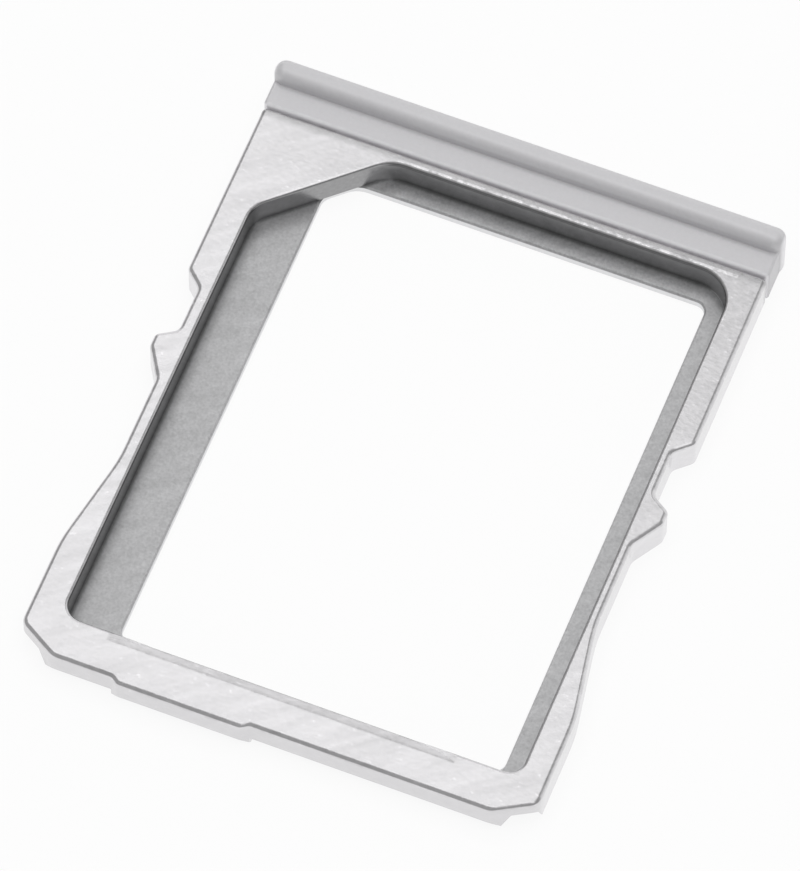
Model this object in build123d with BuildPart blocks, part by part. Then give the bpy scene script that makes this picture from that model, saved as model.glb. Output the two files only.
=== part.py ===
"""Slide-out card tray of a phone: a metal frame with a stepped card pocket, and the bezel on its end.

X runs across the tray, +Y points from the leading edge to the bezel and +Z is up, on the card's side.
The origin is the middle of the underside. All sizes are in millimetres.
"""

import os
from math import hypot

from build123d import *

os.makedirs("parts", exist_ok=True)

# The card that the tray holds, of the micro size, and the room left for it
card_width = 12.0
card_length = 15.0
card_thickness = 0.76
card_clearance = 0.1
card_headroom = 0.06

# Pocket: its place right of the frame's middle, its corner cut and its corner radii
pocket_shift = 0.06
cut_across = 2.75
cut_along = 2.52
cut_left_radius = 0.8
cut_far_radius = 1.1
pocket_far_radius = 0.95
pocket_near_right_radius = 0.4
pocket_near_left_radius = 0.48
pocket_edge_radius = 0.08

# Ledges that carry the card, and the window between them
ledge_thickness = 0.24
ledge_left = 1.37
ledge_right = 0.56
ledge_far = 0.52
ledge_near = 0.3
window_radius = 0.3
window_cut_relief = 0.08
window_cut_left_radius = 0.45
window_cut_far_radius = 0.7
window_edge_break = 0.05

# Frame: its rails beside the pocket, its bars at both ends, and its edges
rail_width = 0.79
near_bar = 1.18
far_bar = 0.33
frame_far_radius = 0.15
rim_radius = 0.11
bottom_edge_break = 0.05
finger_roll_width = 0.3
finger_roll_drop = 0.1
finger_roll_left = 1.3
finger_roll_right = 1.6
finger_roll_fade = 1.2

# Side outline: the rail at the waist, the detent notch and bump, and the flare to the leading end
waist_rail = 0.33
bump_stand = 0.05
notch_from_far = 5.17
notch_slope = 0.42
notch_length = 1.31
bump_back_slope = 0.32
bump_tip_length = 0.37
bump_front_slope = 0.83
notch_outer_radius = 0.22
notch_inner_radius = 0.25
bump_back_radius = 0.16
bump_front_radius = 0.2
bump_root_radius = 0.35
flare_from_near = 3.15
flare_length = 2.65
flare_radius = 4.0

# Leading end: its spread past the rails, corner facets, a low nose, and lead-in bevels underneath
lead_spread = 0.02
facet_across = 1.07
facet_along = 0.62
facet_near_radius = 0.5
facet_side_radius = 0.35
nose_step = 0.14
nose_jog = 0.2
nose_from_middle = 0.55
nose_length = 3.7
nose_radius = 0.2
lead_in_height = 0.38
lead_in_depth = 0.24
facet_lead_in_height = 0.64
facet_lead_in_depth = 0.38
facet_lead_in_start = 0.22
facet_lead_in_ramp = 0.32

# Bezel: a shoulder behind the frame, and the round-topped cap that closes the slot
shoulder_depth = 0.68
shoulder_rise = 0.1
shoulder_overhang = 0.02
shoulder_corner_radius = 0.1
shoulder_edge_radius = 0.08
cap_depth = 0.62
cap_rise = 0.42
cap_overhang = 0.08
cap_end_land = 0.04
cap_top_land = 0.1
cap_bottom_radius = 0.12

# Tongue of the frame in its slot in the bezel
tongue_inset = 1.09
tongue_depth = 0.5
tongue_thickness = 0.46
tongue_height = 0.32
tongue_clearance = 0.02

pocket_width = card_width + 2 * card_clearance
pocket_length = card_length + 2 * card_clearance
pocket_depth = card_thickness + card_headroom
frame_height = ledge_thickness + pocket_depth
bezel_depth = shoulder_depth + cap_depth
overall_length = nose_step + near_bar + pocket_length + far_bar + bezel_depth

# Places along Y, from the nose to the back of the bezel
near_edge = -overall_length / 2 + nose_step
pocket_near = near_edge + near_bar
pocket_far = pocket_near + pocket_length
frame_far = pocket_far + far_bar
cap_front = frame_far + shoulder_depth
cap_back = cap_front + cap_depth

# Places along X, and the half widths of the frame
pocket_left = pocket_shift - pocket_width / 2
pocket_right = pocket_shift + pocket_width / 2
half_width = pocket_width / 2 + rail_width
waist = pocket_width / 2 + waist_rail
bump = half_width + bump_stand
lead = half_width + lead_spread

# Heights
shoulder_top = frame_height + shoulder_rise
cap_top = shoulder_top + cap_rise
tongue_middle = tongue_height + tongue_thickness / 2

# Widths of the tongue and of the bezel, and the cap's rounds, which leave narrow flats on its ends and top
tongue_width = 2 * (half_width - tongue_inset)
shoulder_width = 2 * (half_width + shoulder_overhang)
cap_width = 2 * (half_width + cap_overhang)
cap_corner_radius = (cap_depth - cap_end_land) / 2
cap_top_radius = (cap_depth - cap_top_land) / 2

# Places along the frame's sides
notch_far = frame_far - notch_from_far
notch_floor_far = notch_far - notch_slope
notch_floor_near = notch_floor_far - notch_length
bump_tip_far = notch_floor_near - bump_back_slope
bump_tip_near = bump_tip_far - bump_tip_length
bump_root = bump_tip_near - bump_front_slope
flare_near = near_edge + flare_from_near


def side(hand):
    """Corner points of one side of the frame from its leading edge to the bezel, each with its radius."""
    return [
        (hand * (lead - facet_across), near_edge, facet_near_radius),
        (hand * lead, near_edge + facet_along, facet_side_radius),
        (hand * lead, flare_near, flare_radius),
        (hand * waist, flare_near + flare_length, flare_radius),
        (hand * waist, bump_root, bump_root_radius),
        (hand * bump, bump_tip_near, bump_front_radius),
        (hand * bump, bump_tip_far, bump_back_radius),
        (hand * waist, notch_floor_near, notch_inner_radius),
        (hand * waist, notch_floor_far, notch_inner_radius),
        (hand * half_width, notch_far, notch_outer_radius),
        (hand * half_width, frame_far, frame_far_radius),
    ]


right_side = side(1)
left_side = side(-1)

# The nose on the leading edge, from its right end to its left end
nose_right = -nose_from_middle
nose_left = nose_right - nose_length
nose_tip = near_edge - nose_step
nose = [
    (nose_right, near_edge, nose_radius),
    (nose_right - nose_jog, nose_tip, nose_radius),
    (nose_left + nose_jog, nose_tip, nose_radius),
    (nose_left, near_edge, nose_radius),
]

# The corner cut's slope, and the window's own cut beside it, which runs just under the pocket's wall
cut_slope = cut_along / cut_across
window_shift = window_cut_relief * hypot(cut_across, cut_along) / cut_across
window_left = pocket_left + ledge_left
window_right = pocket_right - ledge_right
window_near = pocket_near + ledge_near
window_far = pocket_far - ledge_far
window_cut_y = pocket_far - cut_along + ledge_left * cut_slope + window_shift
window_cut_x = pocket_left + (cut_along - ledge_far - window_shift) / cut_slope

# Corner points of the pocket and of the window, each with its radius
pocket = [
    (pocket_right, pocket_near, pocket_near_right_radius),
    (pocket_right, pocket_far, pocket_far_radius),
    (pocket_left + cut_across, pocket_far, cut_far_radius),
    (pocket_left, pocket_far - cut_along, cut_left_radius),
    (pocket_left, pocket_near, pocket_near_left_radius),
]
window = [
    (window_right, window_near, window_radius),
    (window_right, window_far, window_radius),
    (window_cut_x, window_far, window_cut_far_radius),
    (window_left, window_cut_y, window_cut_left_radius),
    (window_left, window_near, window_radius),
]


def corners(points):
    """The points of a list of corners, without their radii."""
    return [(x, y) for x, y, _ in points]


def radii(points):
    """The radii of a list of corners."""
    return [radius for _, _, radius in points]


def bevel_section(depth, height):
    """Points of a lead-in bevel's section, from the wall inwards and upwards, run on outside the wall."""
    outside = depth / 2
    return [(-outside, 0), (depth, 0), (-outside, height * (1 + outside / depth))]


# What the near bar loses to its rounded edge, where the card is lifted out, fading at both ends
with BuildPart() as finger_roll:
    roll_start = Vector(pocket_left + finger_roll_left, pocket_near, frame_height)
    roll_length = pocket_width - finger_roll_left - finger_roll_right
    with BuildSketch(Plane(origin=roll_start, x_dir=(0, 1, 0), z_dir=(1, 0, 0))):
        with BuildLine():
            roll = TangentArc((-finger_roll_width, 0), (0, -finger_roll_drop), tangent=(1, 0))
            Polyline(roll @ 1, (0, 0), roll @ 0)
        make_face()
    extrude(amount=roll_length)
    with BuildSketch(Plane(origin=roll_start, x_dir=(1, 0, 0), z_dir=(0, -1, 0))):
        Polygon(
            (0, 0),
            (finger_roll_fade, -finger_roll_drop),
            (roll_length - finger_roll_fade, -finger_roll_drop),
            (roll_length, 0),
            align=None,
        )
    extrude(amount=finger_roll_width, mode=Mode.INTERSECT)

# Metal frame with the card's pocket
with BuildPart() as tray_frame:
    with BuildSketch():
        with BuildLine():
            start = (0, near_edge)
            end = (0, frame_far)
            FilletPolyline(start, *corners(right_side), end, radius=radii(right_side))
            FilletPolyline(start, *corners(nose + left_side), end, radius=radii(nose + left_side))
        make_face()
    extrude(amount=frame_height)
    fillet(tray_frame.edges().group_by(Axis.Z)[-1], radius=rim_radius)
    chamfer(tray_frame.edges().group_by(Axis.Z)[0], length=bottom_edge_break)

    # Lead-in bevels under the leading edge, on both sides of the nose and under the nose itself
    for first, last, edge in (
        (-lead, nose_left, near_edge),
        (nose_left, nose_right, nose_tip),
        (nose_right, lead, near_edge),
    ):
        with BuildSketch(Plane(origin=(first, edge, 0), x_dir=(0, 1, 0), z_dir=(1, 0, 0))):
            Polygon(*bevel_section(lead_in_depth, lead_in_height), align=None)
        extrude(amount=last - first, mode=Mode.SUBTRACT)

    # Higher lead-in bevels under the corner facets, which run out at both ends
    up = Vector(0, 0, 1)
    facet = hypot(facet_across, facet_along)
    for corner, end_of_facet in (right_side[:2], left_side[:2]):
        along = (Vector(*end_of_facet[:2]) - Vector(*corner[:2])).normalized()
        inward = Vector(0, 1) - along * along.Y
        slope = inward.normalized() * facet_lead_in_depth - up * facet_lead_in_height
        with BuildSketch(Plane(origin=corner[:2], x_dir=along, z_dir=along.cross(up))):
            Polygon(
                (facet_lead_in_start, 0),
                (facet_lead_in_start + facet_lead_in_ramp, facet_lead_in_height),
                (facet, facet_lead_in_height),
                (facet + facet_lead_in_ramp, 0),
                align=None,
            )
        extrude(amount=slope.length, dir=slope, mode=Mode.SUBTRACT)

    # Pocket for the card, with a rounded edge
    with BuildSketch(Plane.XY.offset(ledge_thickness)):
        with BuildLine():
            FilletPolyline(*corners(pocket), radius=radii(pocket), close=True)
        make_face()
    extrude(amount=pocket_depth, mode=Mode.SUBTRACT)
    pocket_mouth = tray_frame.faces().filter_by(Axis.Z).sort_by(Axis.Z)[-1].inner_wires()
    fillet(pocket_mouth.edges(), radius=pocket_edge_radius)

    # Window through the floor of the pocket, which leaves the ledges
    with BuildSketch():
        with BuildLine():
            FilletPolyline(*corners(window), radius=radii(window), close=True)
        make_face()
    extrude(amount=ledge_thickness, mode=Mode.SUBTRACT)

    # Bevel round the window's upper edge
    with BuildSketch(Plane.XY.offset(ledge_thickness)):
        with BuildLine():
            FilletPolyline(*corners(window), radius=radii(window), close=True)
        make_face()
        offset(amount=window_edge_break)
    extrude(amount=-window_edge_break, taper=45, mode=Mode.SUBTRACT)

    # Rounded edge of the near bar
    add(finger_roll.part, mode=Mode.SUBTRACT)

    # Tongue that carries the bezel
    with BuildSketch(Plane.XZ.offset(-frame_far)):
        with Locations((0, tongue_middle)):
            Rectangle(tongue_width, tongue_thickness)
    extrude(amount=-tongue_depth)
tray_frame.part.label = "tray_frame"
export_step(tray_frame.part, "parts/tray_frame.step")

# Bezel that closes the phone's slot
with BuildPart() as bezel:
    with BuildSketch():
        with Locations((0, (cap_front + cap_back) / 2)):
            RectangleRounded(cap_width, cap_depth, cap_corner_radius)
    extrude(amount=cap_top)
    fillet(bezel.edges().group_by(Axis.Z)[-1], radius=cap_top_radius)
    fillet(bezel.edges().group_by(Axis.Z)[0], radius=cap_bottom_radius)

    # Shoulder that meets the frame
    with BuildSketch() as shoulder:
        with Locations((0, frame_far)):
            Rectangle(shoulder_width, shoulder_depth + cap_depth / 2, align=(Align.CENTER, Align.MIN))
        fillet(shoulder.vertices().group_by(Axis.Y)[0], radius=shoulder_corner_radius)
    extrude(amount=shoulder_top)
    front_edges = bezel.edges().filter_by(Axis.X).group_by(Axis.Y)[0]
    fillet(front_edges.sort_by(Axis.Z)[-1], radius=shoulder_edge_radius)

    # Slot for the frame's tongue
    with BuildSketch(Plane.XZ.offset(-frame_far)):
        with Locations((0, tongue_middle)):
            Rectangle(tongue_width + 2 * tongue_clearance, tongue_thickness + 2 * tongue_clearance)
    extrude(amount=-tongue_depth - tongue_clearance, mode=Mode.SUBTRACT)
bezel.part.label = "bezel"
export_step(bezel.part, "parts/bezel.step")
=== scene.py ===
"""Dresses a phone's card tray: a blasted metal frame, a satin bezel, a soft studio and the camera.

Lengths are in metres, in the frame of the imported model: X across the tray, +Y towards the bezel, +Z up.
"""

import math

import bpy
from bpy.props import FloatProperty, FloatVectorProperty, PointerProperty
from bpy.types import Operator, Panel, PropertyGroup
from mathutils import Matrix, Vector


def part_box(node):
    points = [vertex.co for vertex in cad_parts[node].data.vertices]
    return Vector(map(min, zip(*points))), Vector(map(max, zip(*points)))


bl_info = {
    "name": "Card Tray",
    "version": (1, 0, 0),
    "blender": (4, 5, 0),
    "location": "View3D > Sidebar > Card Tray",
    "description": "Finishes a phone's card tray and sets a soft studio round it",
    "category": "Object",
}

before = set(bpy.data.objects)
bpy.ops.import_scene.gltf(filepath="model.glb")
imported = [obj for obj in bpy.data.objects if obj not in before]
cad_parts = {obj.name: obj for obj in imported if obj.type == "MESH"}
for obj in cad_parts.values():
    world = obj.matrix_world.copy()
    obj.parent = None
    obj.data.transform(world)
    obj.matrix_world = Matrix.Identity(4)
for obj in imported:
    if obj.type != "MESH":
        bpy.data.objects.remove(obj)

MM = 0.001
SENSOR = 36.0
CLIP_START = 0.01

# The card's pocket: its middle lies right of the tray's middle, and it starts behind the frame's nose
POCKET_MIDDLE = 0.06 * MM
POCKET_WIDTH = 12.2 * MM
POCKET_START = 1.32 * MM
POCKET_LENGTH = 15.2 * MM
CUT_ACROSS = 2.75 * MM
CUT_ALONG = 2.52 * MM

# Heights and edges of the frame
FRAME_TOP = 1.06 * MM
LEDGE_TOP = 0.24 * MM
FINGER_DROP = 0.1 * MM
RIM_RADIUS = 0.11 * MM
EDGE_RADIUS = 0.08 * MM
WINDOW_BEVEL = 0.05 * MM
TOUCH = 0.005 * MM

# Depths under the frame's top where the walls' tone starts and is full, then where their painted lip shade
# is full and ends
WALL_START = 0.06 * EDGE_RADIUS
WALL_FULL = 0.5 * EDGE_RADIUS
LIP_FULL = 1.1 * EDGE_RADIUS
LIP_END = 1.8 * EDGE_RADIUS

# The band of painted glints beyond the pocket's far line, and its fade towards the cut corner
PAINTED_GLINT_START = 0.3 * EDGE_RADIUS
PAINTED_GLINT_FULL = 0.7 * EDGE_RADIUS
PAINTED_GLINT_END = 1.7 * EDGE_RADIUS
CUT_FADE_START = -2 * EDGE_RADIUS
CUT_FADE_END = 4 * EDGE_RADIUS

# The painted light on the outer sides starts this far before the pocket
FLANK_FADE = POCKET_START / 2

# Noise lies about its mean, and specks and glints are where it is high
NOISE_MEAN = 0.5
GRAIN_DETAIL = 3.0
SPECK_LOW = 0.66
SPECK_HIGH = 0.74
GLINT_LOW = 0.35
GLINT_HIGH = 0.6


class Socket:
    """An output socket of a shader node, on which arithmetic adds Math nodes."""

    def __init__(self, shader, socket):
        self.shader = shader
        self.socket = socket

    def math(self, operation, *values):
        """A Math node of this operation on the values, this socket among them."""
        return self.shader.node("ShaderNodeMath", {"operation": operation}, dict(enumerate(values)))

    def __add__(self, other):
        return self.math("ADD", self, other)

    def __radd__(self, other):
        return self.math("ADD", other, self)

    def __sub__(self, other):
        return self.math("SUBTRACT", self, other)

    def __rsub__(self, other):
        return self.math("SUBTRACT", other, self)

    def __mul__(self, other):
        return self.math("MULTIPLY", self, other)

    def __rmul__(self, other):
        return self.math("MULTIPLY", other, self)

    def __truediv__(self, other):
        return self.math("DIVIDE", self, other)

    def __abs__(self):
        return self.math("ABSOLUTE", self)

    def __gt__(self, other):
        return self.math("GREATER_THAN", self, other)

    def __lt__(self, other):
        return self.math("LESS_THAN", self, other)


class Shader:
    """A node tree that starts empty, for a material or the world."""

    def __init__(self, owner):
        owner.use_nodes = True
        self.tree = owner.node_tree
        self.tree.nodes.clear()

    def node(self, kind, settings=None, inputs=None, output=0):
        """Adds a node: its settings first, then the values or links of its sockets. Returns one output."""
        node = self.tree.nodes.new(kind)
        for name, value in (settings or {}).items():
            setattr(node, name, value)
        for name, value in (inputs or {}).items():
            if isinstance(value, Socket):
                self.tree.links.new(value.socket, node.inputs[name])
            else:
                node.inputs[name].default_value = value
        return Socket(self, node.outputs[output]) if node.outputs else node

    def parts(self, vector):
        """The three numbers of a vector."""
        first = self.node("ShaderNodeSeparateXYZ", inputs={0: vector})
        return [Socket(self, output) for output in first.socket.node.outputs]

    def smooth(self, value, start, full):
        """0 up to the start, 1 past the full value, and a smooth step between them, either way round."""
        return self.node(
            "ShaderNodeMapRange",
            {"interpolation_type": "SMOOTHSTEP"},
            {"Value": value, "From Min": start, "From Max": full},
        )

    def noise(self, size, point, detail=2.0):
        """Noise of about this feature size, in metres, at a point."""
        return self.node(
            "ShaderNodeTexNoise",
            inputs={"Vector": point, "Scale": 1 / size, "Detail": detail},
        )

    def stretched(self, point, turn, length):
        """The point squeezed along a direction in the tray's plane, which draws a pattern out there."""
        return self.node(
            "ShaderNodeMapping",
            {"vector_type": "TEXTURE"},
            {"Vector": point, "Rotation": (0, 0, turn), "Scale": (length, 1, 1)},
        )

    def scaled(self, color, factor):
        """A colour times a factor."""
        return self.node(
            "ShaderNodeVectorMath", {"operation": "SCALE"}, {0: tuple(color)[:3], "Scale": factor}
        )

    def mix_color(self, factor, first, second):
        """First colour where the factor is 0, second where it is 1."""
        return self.node(
            "ShaderNodeMix",
            {"data_type": "RGBA"},
            {"Factor": factor, 6: first, 7: second},
            output=2,
        )

    def finish(self, surface):
        """Links a shader to the tree's output."""
        in_world = isinstance(self.tree.id_data, bpy.types.World)
        kind = "ShaderNodeOutputWorld" if in_world else "ShaderNodeOutputMaterial"
        self.node(kind, inputs={"Surface": surface})


class FrameFinish(PropertyGroup):
    """Finish of the metal frame."""

    color: FloatVectorProperty(
        name="Metal", description="Colour of the bare metal", subtype="COLOR", size=4,
        default=(0.705, 0.697, 0.71, 1.0),
    )
    wall_color: FloatVectorProperty(
        name="Pocket walls", description="Colour of the pocket's walls", subtype="COLOR", size=4,
        default=(0.315, 0.315, 0.319, 1.0),
    )
    window_color: FloatVectorProperty(
        name="Window", description="Colour of the cut sides of the window", subtype="COLOR", size=4,
        default=(0.78, 0.78, 0.79, 1.0),
    )
    # Painted shade at the foot of the pocket's walls
    foot_painted_shade: FloatProperty(
        name="Foot shade", description="How much darker a wall is at its foot", subtype="FACTOR",
        default=0.4,
    )
    # Painted shade on the plate along the bezel's seam
    seam_painted_shade: FloatProperty(
        name="Seam shade", description="How much darker the plate is along the bezel's seam",
        subtype="FACTOR", default=0.3,
    )
    # Painted glints on the far mouth's edge: their length and how much brighter they are
    painted_glint: FloatProperty(
        name="Painted glint", description="Length of the glints on the far mouth's edge", subtype="DISTANCE",
        unit="LENGTH", default=0.2 * MM,
    )
    painted_glint_shine: FloatProperty(
        name="Burr shine", description="How much brighter the glints on the far mouth's edge are",
        subtype="FACTOR", default=0.4,
    )
    # Painted light on the frame's outer sides, standing in for the white floor they reflect
    flank_painted_light: FloatProperty(
        name="Flank shine", description="How much paler the frame's outer sides are", subtype="FACTOR",
        default=0.12,
    )
    side_calm: FloatProperty(
        name="Side calm", description="How much fainter the grain is on upright sides", subtype="FACTOR",
        default=0.7,
    )
    # Painted light on the rounded rim in the seam, against the groove's shade
    rim_painted_light: FloatProperty(
        name="Rim shine", description="How much paler the rounded rim in the seam is", subtype="FACTOR",
        default=0.3,
    )
    # Breadth of the painted shade along the seam
    seam_width: FloatProperty(
        name="Seam width", description="Breadth of the darker plate along the seam", subtype="DISTANCE",
        unit="LENGTH", default=0.36 * MM,
    )
    # Painted shade on the walls along the card's sides, and the breadth over which it fades
    side_wall_painted_shade: FloatProperty(
        name="Side shade", description="How much darker the walls along the card's sides are",
        subtype="FACTOR", default=0.4,
    )
    side_width: FloatProperty(
        name="Side width", description="Breadth over which the side walls' tone fades", subtype="DISTANCE",
        unit="LENGTH", default=0.4 * MM,
    )
    # Painted shade at the walls' rounded lip
    lip_painted_shade: FloatProperty(
        name="Lip shade", description="How much darker a wall is at its rounded lip", subtype="FACTOR",
        default=0.6,
    )
    # Painted shade on the ledges in the corner under the walls
    corner_painted_shade: FloatProperty(
        name="Corner shade", description="How much darker a ledge is in the corner", subtype="FACTOR",
        default=0.55,
    )
    corner_width: FloatProperty(
        name="Corner width", description="Width of the dark corner on the ledges", subtype="DISTANCE",
        unit="LENGTH", default=0.12 * MM,
    )
    # Painted light on the ledge by the far wall, and where it ends
    ledge_painted_light: FloatProperty(
        name="Ledge lift", description="How much paler the ledge by the far wall is", subtype="FACTOR",
        default=0.42,
    )
    lift_width: FloatProperty(
        name="Lift width", description="Distance from the far wall where the paler ledge ends",
        subtype="DISTANCE", unit="LENGTH", default=0.72 * MM,
    )
    ledge_color: FloatVectorProperty(
        name="Ledges", description="Colour of the duller metal of the ledges", subtype="COLOR", size=4,
        default=(0.608, 0.608, 0.616, 1.0),
    )
    roughness: FloatProperty(
        name="Roughness", description="Roughness of the blasted faces", subtype="FACTOR", default=0.24
    )
    wall_roughness: FloatProperty(
        name="Wall roughness", description="Roughness of the pocket's walls", subtype="FACTOR", default=0.25
    )
    ledge_roughness: FloatProperty(
        name="Ledge roughness", description="Roughness of the ledges", subtype="FACTOR", default=0.4
    )
    roughness_stray: FloatProperty(
        name="Roughness stray", description="How far the grain's roughness strays", subtype="FACTOR",
        default=0.1,
    )
    grain: FloatProperty(
        name="Grain", description="Size of the blasted grain", subtype="DISTANCE", unit="LENGTH",
        default=0.1 * MM,
    )
    grain_depth: FloatProperty(
        name="Grain depth", description="Height of the grain", subtype="DISTANCE", unit="LENGTH",
        default=0.002 * MM,
    )
    grain_length: FloatProperty(
        name="Grain length", description="Length of a grain along the tray's width, over its breadth",
        default=1.8,
    )
    mottle: FloatProperty(
        name="Mottle", description="How far the grain's tone strays from the metal's colour",
        subtype="FACTOR", default=0.36,
    )
    ledge_grain: FloatProperty(
        name="Ledge grain", description="Size of the ledges' grain", subtype="DISTANCE", unit="LENGTH",
        default=0.07 * MM,
    )
    ledge_mottle: FloatProperty(
        name="Ledge mottle", description="How far the ledges' tone strays", subtype="FACTOR", default=0.5
    )
    scuff: FloatProperty(
        name="Scuffs", description="Breadth of the faint scuffs across the plate", subtype="DISTANCE",
        unit="LENGTH", default=0.3 * MM,
    )
    scuff_turn: FloatProperty(
        name="Scuff turn", description="Turn of the scuffs from the tray's width", subtype="ANGLE",
        unit="ROTATION", default=math.radians(37),
    )
    scuff_length: FloatProperty(
        name="Scuff length", description="Length of a scuff over its breadth", default=6.0
    )
    scuff_mottle: FloatProperty(
        name="Scuff mottle", description="How far the scuffs' tone strays", subtype="FACTOR", default=0.3
    )
    speck: FloatProperty(
        name="Specks", description="How much brighter the few bright specks are", subtype="FACTOR",
        default=0.15,
    )


class BezelFinish(PropertyGroup):
    """Finish of the bezel."""

    color: FloatVectorProperty(
        name="Silver", description="Colour of the bezel", subtype="COLOR", size=4,
        default=(0.640, 0.634, 0.650, 1.0),
    )
    roughness: FloatProperty(
        name="Roughness", description="Roughness of the satin bezel", subtype="FACTOR", default=0.38
    )
    roughness_stray: FloatProperty(
        name="Roughness stray", description="How far the satin's roughness strays", subtype="FACTOR",
        default=0.2,
    )
    metallic: FloatProperty(
        name="Metallic", description="How metallic the silver coat is", subtype="FACTOR", default=0.3
    )
    # Painted light on the bezel's front edge and its ends
    edge_painted_light: FloatProperty(
        name="Edge shine", description="How much paler the front edge and the ends are", subtype="FACTOR",
        default=0.5,
    )
    edge_width: FloatProperty(
        name="Edge width", description="Breadth of the paler front edge and ends", subtype="DISTANCE",
        unit="LENGTH", default=0.08 * MM,
    )
    grain: FloatProperty(
        name="Grain", description="Size of the satin's grain", subtype="DISTANCE", unit="LENGTH",
        default=0.1 * MM,
    )
    mottle: FloatProperty(
        name="Mottle", description="How far the satin's tone strays", subtype="FACTOR", default=0.1
    )


class StudioSettings(PropertyGroup):
    """Light, floor and camera of the studio."""

    floor_color: FloatVectorProperty(
        name="Floor", description="Colour of the floor", subtype="COLOR", size=4,
        default=(0.9, 0.9, 0.9, 1.0),
    )
    floor_white: FloatProperty(
        name="Floor white", description="Share of plain white in the floor as the camera and metal see it",
        subtype="FACTOR", default=0.9,
    )
    floor_width: FloatProperty(
        name="Floor width", description="Width of the floor", subtype="DISTANCE", unit="LENGTH", default=3.0
    )
    backdrop_distance: FloatProperty(
        name="Backdrop", description="Distance of the white backdrop beyond the tray", subtype="DISTANCE",
        unit="LENGTH", default=0.6,
    )
    backdrop_aside: FloatProperty(
        name="Backdrop aside", description="How far the backdrop's middle is to the right",
        subtype="DISTANCE", unit="LENGTH", default=0.45,
    )
    backdrop_width: FloatProperty(
        name="Backdrop width", description="Width of the backdrop", subtype="DISTANCE", unit="LENGTH",
        default=2.1,
    )
    backdrop_height: FloatProperty(
        name="Backdrop height", description="Height of the backdrop", subtype="DISTANCE", unit="LENGTH",
        default=0.75,
    )
    softbox_place: FloatVectorProperty(
        name="Softbox", description="Place of the softbox overhead", subtype="TRANSLATION",
        default=(0.027, 0.069, 0.40),
    )
    softbox_turn: FloatProperty(
        name="Softbox turn", description="Turn of the softbox about the upright", subtype="ANGLE",
        unit="ROTATION", default=math.radians(45),
    )
    softbox_width: FloatProperty(
        name="Softbox width", description="Width of the softbox", subtype="DISTANCE", unit="LENGTH",
        default=0.095,
    )
    softbox_length: FloatProperty(
        name="Softbox length", description="Length of the softbox", subtype="DISTANCE", unit="LENGTH",
        default=0.6,
    )
    softbox_level: FloatProperty(
        name="Softbox level", description="Brightness of the softbox's face, where 1 is white", default=1.06
    )
    fill_height: FloatProperty(
        name="Fill height", description="Height of the fill lamp", subtype="DISTANCE", unit="LENGTH",
        default=0.6,
    )
    fill_width: FloatProperty(
        name="Fill width", description="Width of the square fill lamp", subtype="DISTANCE", unit="LENGTH",
        default=0.6,
    )
    fill_level: FloatProperty(
        name="Fill", description="Brightness of the fill lamp, which the metal doesn't mirror", default=1.74
    )
    room_level: FloatProperty(
        name="Room", description="Brightness of the room all round", default=0.5
    )
    camera_place: FloatVectorProperty(
        name="Camera", description="Place of the camera", subtype="TRANSLATION",
        default=(0.044246, -0.114543, 0.221975),
    )
    camera_target: FloatVectorProperty(
        name="Target", description="Point that the camera looks at", subtype="TRANSLATION",
        default=(-0.000213, 0.000369, 0.0005),
    )
    camera_roll: FloatProperty(
        name="Roll", description="Turn of the camera about its own line of sight", subtype="ANGLE",
        unit="ROTATION", default=math.radians(0.5113),
    )
    focal_length: FloatProperty(
        name="Lens", description="Focal length over the picture's longer side, in millimetres",
        default=415.83,
    )


def least(first, *others):
    """The least of several sockets."""
    for other in others:
        first = first.math("MINIMUM", first, other)
    return first


def stray(noise, amount):
    """How far a noise is from its mean, times an amount."""
    return amount * (noise - NOISE_MEAN)


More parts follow.
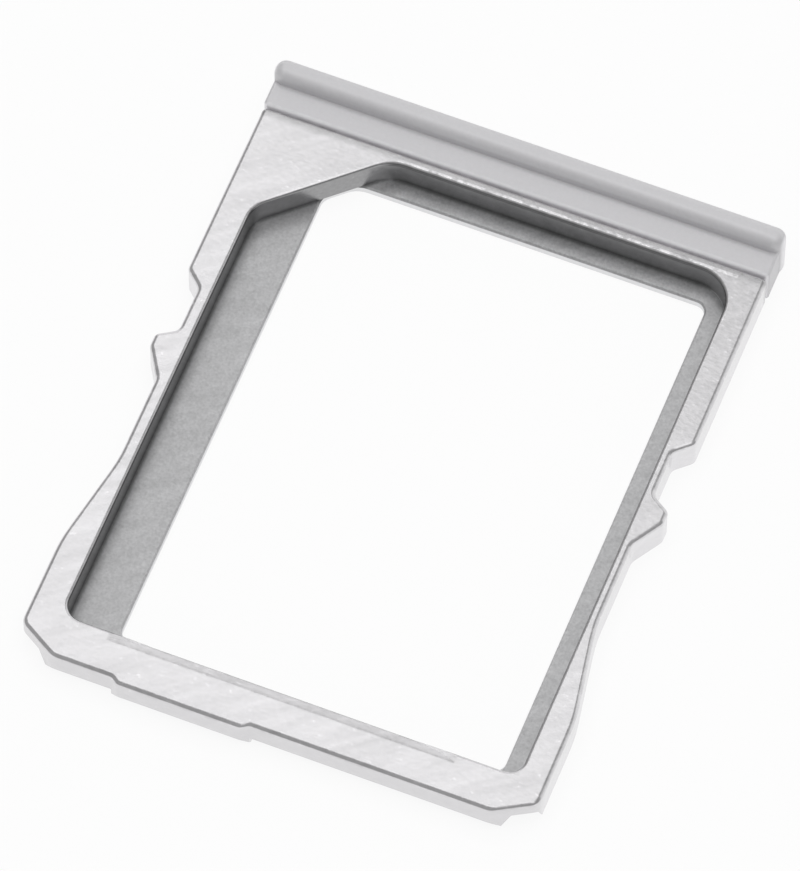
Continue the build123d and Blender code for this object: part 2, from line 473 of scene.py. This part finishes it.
def metal_material(finish):
    """Bare metal with a fine blasted grain, darker on the pocket's walls and duller on its ledges; painted
    shade at the walls' feet, lips and sides, in the ledges' corners and along the seam; painted light on
    the seam's rim, the outer sides and the ledge by the far wall, and painted glints on the far mouth.
    """
    material = bpy.data.materials.new("frame_metal_blasted")
    shader = Shader(material)
    point = shader.node("ShaderNodeTexCoord", output="Object")
    x, y, z = shader.parts(point)

    # Where the pocket's walls, ledges and window are
    left = POCKET_MIDDLE - POCKET_WIDTH / 2
    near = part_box("tray_frame")[0].y + POCKET_START
    far = near + POCKET_LENGTH
    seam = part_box("bezel")[0].y
    cut = (x - left) * CUT_ALONG - (y - far + CUT_ALONG) * CUT_ACROSS
    cut = cut / math.hypot(CUT_ALONG, CUT_ACROSS)
    beside = least(x - left, left + POCKET_WIDTH - x)
    depth = least(beside, y - near, far - y, cut)
    inside = depth > -EDGE_RADIUS
    finger = (y < near + TOUCH) * (z > FRAME_TOP - FINGER_DROP - TOUCH)
    wall = inside * shader.smooth(z, FRAME_TOP - WALL_START, FRAME_TOP - WALL_FULL) * (1 - finger)
    ledge = inside * (z < LEDGE_TOP + TOUCH)
    window = inside * (z < LEDGE_TOP - WINDOW_BEVEL - TOUCH)

    grain = shader.noise(finish.grain, shader.stretched(point, 0, finish.grain_length), GRAIN_DETAIL)
    fine = shader.noise(finish.ledge_grain, point)
    scuffs = shader.noise(finish.scuff, shader.stretched(point, finish.scuff_turn, finish.scuff_length))
    specks = shader.smooth(grain, SPECK_LOW, SPECK_HIGH)

    # The plate, with painted shade along the seam and painted light on the seam's rim, calmer grain and
    # painted light on its outer sides, and painted glints on the far mouth
    # Painted shade along the seam, then painted light on the seam's rim
    by_seam = shader.smooth(y, seam - finish.seam_width, seam - RIM_RADIUS)
    on_rim = shader.smooth(y, seam - RIM_RADIUS, seam)
    seam_painted_tone = 1 - finish.seam_painted_shade * by_seam + (finish.seam_painted_shade + finish.rim_painted_light) * on_rim
    texture = stray(grain, finish.mottle) + stray(scuffs, finish.scuff_mottle) + finish.speck * specks
    side = z < FRAME_TOP - RIM_RADIUS
    # Painted light on the outer sides, fading in towards the pocket
    flank = (1 - inside) * side * shader.smooth(y, near - FLANK_FADE, near)
    # Painted glints along the far mouth's edge
    beyond = -1 * least(far - y, cut)
    painted_glint = shader.smooth(beyond, PAINTED_GLINT_START, PAINTED_GLINT_FULL) * (beyond < PAINTED_GLINT_END) * (beside > 0)
    painted_glint = painted_glint * shader.smooth(cut, CUT_FADE_START, CUT_FADE_END)
    glints = shader.smooth(shader.noise(finish.painted_glint, point), GLINT_LOW, GLINT_HIGH)
    glints = finish.painted_glint_shine * painted_glint * glints
    plate_tone = 1 + texture * (1 - finish.side_calm * side)
    plate_tone = plate_tone * seam_painted_tone * (1 + finish.flank_painted_light * flank) * (1 + glints)

    # The walls, with painted shade at foot and lip and along the card's sides, but plain at the cut corner
    # Painted shade at the walls' foot
    foot_painted_tone = 1 - finish.foot_painted_shade * (1 - shader.smooth(z, LEDGE_TOP, FRAME_TOP - EDGE_RADIUS))
    # Painted shade at the walls' lip
    lip_painted_tone = 1 - finish.lip_painted_shade * shader.smooth(z, FRAME_TOP - LIP_END, FRAME_TOP - LIP_FULL)
    # Painted shade on the side walls
    side_wall_painted_tone = 1 - finish.side_wall_painted_shade * (1 - shader.smooth(beside, 0, finish.side_width))
    straight = shader.smooth(cut, 0, finish.corner_width)
    wall_tone = straight * foot_painted_tone * lip_painted_tone * side_wall_painted_tone + (1 - straight)
    wall_tone = wall_tone * (1 + stray(grain, finish.mottle))

    # The ledges, with painted shade in the corner under the walls and painted light by the far wall
    # Painted shade in the ledges' corner
    corner = 1 - finish.corner_painted_shade * (1 - shader.smooth(depth, 0, finish.corner_width))
    # Painted light on the ledge by the far wall
    far_ledge = 1 + finish.ledge_painted_light * (1 - shader.smooth(far - y, finish.corner_width, finish.lift_width))
    ledge_grain = stray(fine, finish.ledge_mottle) + stray(scuffs, finish.scuff_mottle)
    ledge_tone = corner * far_ledge * (1 + ledge_grain)

    plate_color = shader.scaled(finish.color, plate_tone)
    color = shader.mix_color(wall, plate_color, shader.scaled(finish.wall_color, wall_tone))
    color = shader.mix_color(ledge, color, shader.scaled(finish.ledge_color, ledge_tone))
    color = shader.mix_color(window, color, shader.scaled(finish.window_color, plate_tone))
    roughness = finish.roughness + wall * (finish.wall_roughness - finish.roughness)
    roughness = roughness + ledge * (finish.ledge_roughness - finish.wall_roughness)
    surface = shader.node(
        "ShaderNodeBsdfPrincipled",
        inputs={
            "Base Color": color,
            "Metallic": 1.0,
            "Roughness": roughness + stray(grain, finish.roughness_stray),
            "Normal": shader.node(
                "ShaderNodeBump", inputs={"Strength": 1.0, "Distance": finish.grain_depth, "Height": grain}
            ),
        },
    )
    shader.finish(surface)
    return material


def bezel_material(finish):
    """Smooth silver-grey satin, with painted light on its front edge and its ends."""
    material = bpy.data.materials.new("bezel_satin")
    shader = Shader(material)
    point = shader.node("ShaderNodeTexCoord", output="Object")
    grain = shader.noise(finish.grain, point)
    x, y, _ = shader.parts(point)
    low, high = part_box("bezel")
    middle = (low.x + high.x) / 2
    half = (high.x - low.x) / 2
    # Painted light on the front edge and the ends
    edge = 1 - shader.smooth(y, low.y, low.y + finish.edge_width)
    end = shader.smooth(abs(x - middle), half - finish.edge_width, half)
    edge_tone = 1 + finish.edge_painted_light * edge.math("MAXIMUM", edge, end)
    surface = shader.node(
        "ShaderNodeBsdfPrincipled",
        inputs={
            "Base Color": shader.scaled(finish.color, (1 + stray(grain, finish.mottle)) * edge_tone),
            "Metallic": finish.metallic,
            "Roughness": finish.roughness + stray(grain, finish.roughness_stray),
        },
    )
    shader.finish(surface)
    return material


def dress(node, material):
    """Gives a node of the frame its material."""
    node.material_slots[0].material = material


class CARDTRAY_OT_finish_frame(Operator):
    """Give the metal frame its blasted finish"""

    bl_idname = "card_tray.finish_frame"
    bl_label = "Finish Frame"

    def execute(self, context):
        dress(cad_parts["tray_frame"], metal_material(context.scene.tray_frame_finish))
        return {"FINISHED"}


class CARDTRAY_OT_finish_bezel(Operator):
    """Give the bezel its satin finish"""

    bl_idname = "card_tray.finish_bezel"
    bl_label = "Finish Bezel"

    def execute(self, context):
        dress(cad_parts["bezel"], bezel_material(context.scene.tray_bezel_finish))
        return {"FINISHED"}


def floor_material(studio):
    """Pale floor, nearly white to the camera and in the metal, that still takes the tray's shadow."""
    material = bpy.data.materials.new("floor_white")
    shader = Shader(material)
    seen = shader.node("ShaderNodeLightPath", output="Is Camera Ray")
    glossy = shader.node("ShaderNodeLightPath", output="Is Glossy Ray")
    through = shader.node("ShaderNodeLightPath", output="Is Transmission Ray")
    matte = shader.node("ShaderNodeBsdfDiffuse", inputs={"Color": studio.floor_color})
    white = shader.node("ShaderNodeEmission", inputs={"Strength": 1.0})
    surface = shader.node(
        "ShaderNodeMixShader",
        inputs={0: studio.floor_white * (seen + glossy + through), 1: matte, 2: white},
    )
    shader.finish(surface)
    return material


def set_floor(context, studio):
    """The floor under the tray, and a backdrop of the same white beyond it."""
    bpy.ops.mesh.primitive_plane_add(size=studio.floor_width, location=(0, 0, 0))
    floor = context.object
    floor.name = "floor"
    floor.data.materials.append(floor_material(studio))
    bpy.ops.mesh.primitive_plane_add(
        size=1.0,
        location=(studio.backdrop_aside, studio.backdrop_distance, studio.backdrop_height / 2),
        rotation=(math.pi / 2, 0, 0),
    )
    backdrop = context.object
    backdrop.name = "backdrop"
    backdrop.scale = (studio.backdrop_width, studio.backdrop_height, 1.0)
    backdrop.data.materials.append(floor.data.materials[0])


def add_lamp(context, name, place, turn, width, length, level):
    """Hangs a flat lamp over the tray, face down."""
    lamp = bpy.data.lights.new(name, "AREA")
    lamp.shape = "RECTANGLE"
    lamp.size = width
    lamp.size_y = length
    lamp.energy = level * math.pi * width * length
    holder = bpy.data.objects.new(name, lamp)
    holder.location = place
    holder.rotation_euler.z = turn
    context.collection.objects.link(holder)
    return holder


def light_tray(context, studio):
    """A softbox that the metal mirrors, a fill lamp for the matte surfaces, and a dim room."""
    add_lamp(
        context, "softbox", studio.softbox_place, studio.softbox_turn,
        studio.softbox_width, studio.softbox_length, studio.softbox_level,
    )
    fill = add_lamp(
        context, "fill", (0, 0, studio.fill_height), 0,
        studio.fill_width, studio.fill_width, studio.fill_level,
    )
    fill.visible_glossy = False
    world = bpy.data.worlds.new("room")
    shader = Shader(world)
    shader.finish(shader.node("ShaderNodeBackground", inputs={"Strength": studio.room_level}))
    context.scene.world = world


def set_camera(context, studio):
    """The camera, turned to its target and rolled about its line of sight."""
    lens = bpy.data.cameras.new("camera")
    lens.sensor_width = SENSOR
    lens.sensor_fit = "AUTO"
    lens.lens = studio.focal_length
    lens.clip_start = CLIP_START
    camera = bpy.data.objects.new("camera", lens)
    place = Vector(studio.camera_place)
    turn = (Vector(studio.camera_target) - place).to_track_quat("-Z", "Y").to_matrix().to_4x4()
    camera.matrix_world = Matrix.Translation(place) @ turn @ Matrix.Rotation(studio.camera_roll, 4, "Z")
    context.collection.objects.link(camera)
    context.scene.camera = camera


class CARDTRAY_OT_set_stage(Operator):
    """Set the floor, the lamps and the camera round the tray"""

    bl_idname = "card_tray.set_stage"
    bl_label = "Set Stage"

    def execute(self, context):
        studio = context.scene.tray_studio
        set_floor(context, studio)
        light_tray(context, studio)
        set_camera(context, studio)
        context.scene.view_settings.view_transform = "Standard"
        return {"FINISHED"}


class CARDTRAY_PT_panel(Panel):
    """Steps and settings of the card tray"""

    bl_idname = "CARDTRAY_PT_panel"
    bl_label = "Card Tray"
    bl_space_type = "VIEW_3D"
    bl_region_type = "UI"
    bl_category = "Card Tray"

    def draw(self, context):
        layout = self.layout
        for group, step in STEPS:
            settings = getattr(context.scene, group)
            box = layout.box()
            for name in settings.__annotations__:
                box.prop(settings, name)
            box.operator(step)


STEPS = (
    ("tray_frame_finish", "card_tray.finish_frame"),
    ("tray_bezel_finish", "card_tray.finish_bezel"),
    ("tray_studio", "card_tray.set_stage"),
)
GROUPS = {
    "tray_frame_finish": FrameFinish,
    "tray_bezel_finish": BezelFinish,
    "tray_studio": StudioSettings,
}
CLASSES = (
    *GROUPS.values(),
    CARDTRAY_OT_finish_frame,
    CARDTRAY_OT_finish_bezel,
    CARDTRAY_OT_set_stage,
    CARDTRAY_PT_panel,
)


def register():
    for item in CLASSES:
        bpy.utils.register_class(item)
    for name, group in GROUPS.items():
        setattr(bpy.types.Scene, name, PointerProperty(type=group))


def unregister():
    for name in GROUPS:
        delattr(bpy.types.Scene, name)
    for item in reversed(CLASSES):
        bpy.utils.unregister_class(item)


def main():
    """Runs every step in order."""
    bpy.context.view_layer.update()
    register()
    bpy.ops.card_tray.finish_frame()
    bpy.ops.card_tray.finish_bezel()
    bpy.ops.card_tray.set_stage()


if __name__ == "__main__":
    main()
